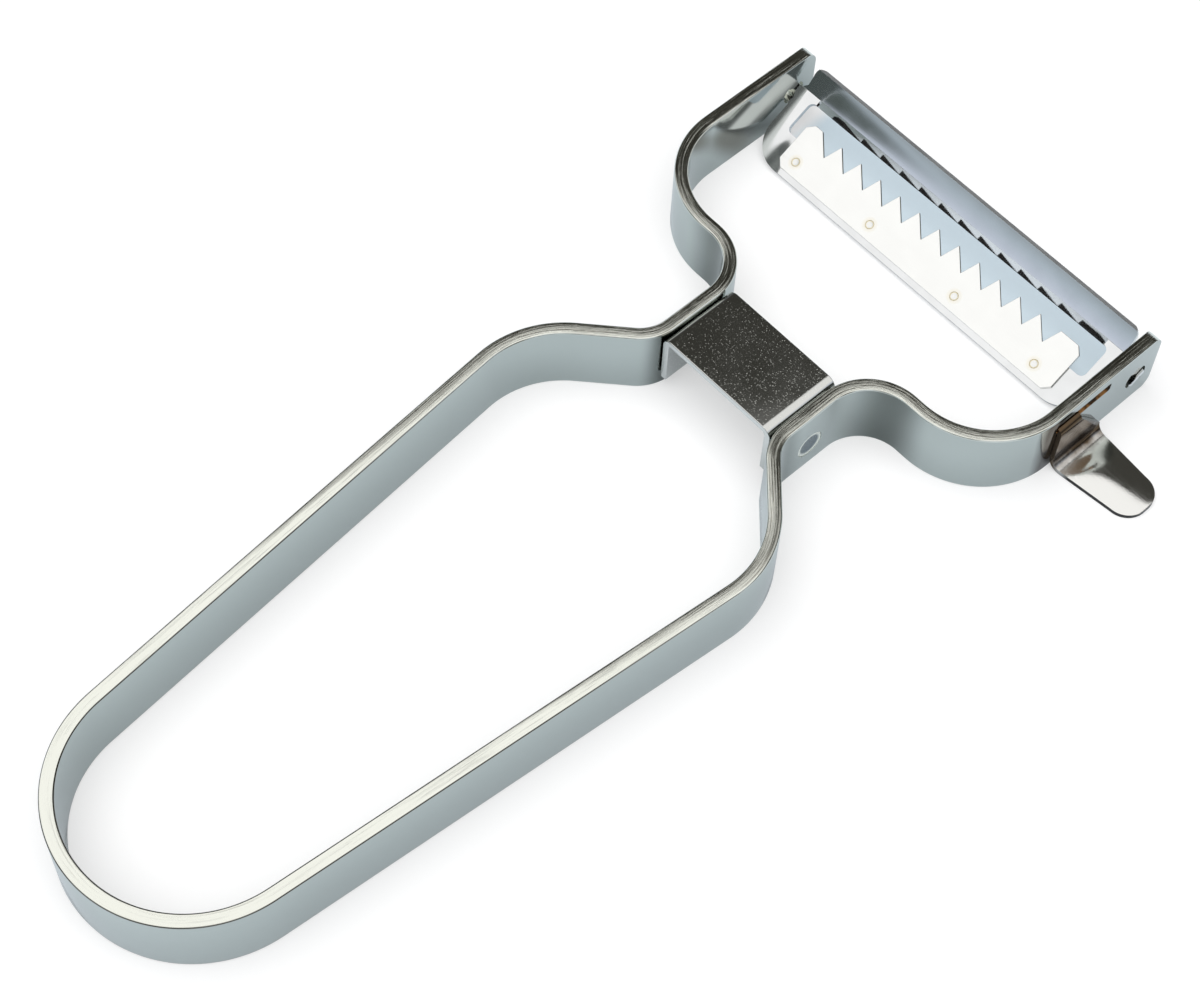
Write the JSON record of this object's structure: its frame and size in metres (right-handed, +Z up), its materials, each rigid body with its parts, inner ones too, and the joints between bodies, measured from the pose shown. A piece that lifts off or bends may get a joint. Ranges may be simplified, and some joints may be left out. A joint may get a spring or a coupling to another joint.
{
  "type": "julienne peeler",
  "caption": "Steel julienne peeler: bent strip loop handle and fork, saddle across the neck, swivelling slotted blade with a saw-toothed comb, spoon-shaped eye remover on one arm.",
  "frame": {"origin": "middle of the strip's thickness at the handle's butt, on the strip's lower edge", "axes": "+Y from the handle's butt to the blade, +X towards the arm with the eye remover, +Z up across the strip's width"},
  "size_m": [0.0719, 0.1368, 0.01],
  "materials": {
    "plated_strip": "plated, brushed along its edges, polished on its faces",
    "polished_saddle": "mirror",
    "blade_steel": "polished",
    "comb_steel": "satin",
    "weld_mark": "heat tinted satin",
    "spoon_steel": "polished, heat tinted at the root"
  },
  "bodies": {
    "frame": {"frame_strip": "plated_strip", "bridge": "polished_saddle", "bridge_weld_left": "weld_mark", "bridge_weld_right": "weld_mark", "eye_remover": "spoon_steel"},
    "blade": {"blade_tray": "blade_steel", "comb_plate": "comb_steel", "comb_weld_1": "weld_mark", "comb_weld_2": "weld_mark", "comb_weld_3": "weld_mark", "comb_weld_4": "weld_mark"}
  },
  "joints": [
    {"name": "blade_swivel", "type": "hinge", "parent": "frame", "child": "blade", "pos_m": [0, 0.1323, 0.00465], "axis": [1, 0, 0], "range_deg": [-56, 0]}
  ]
}
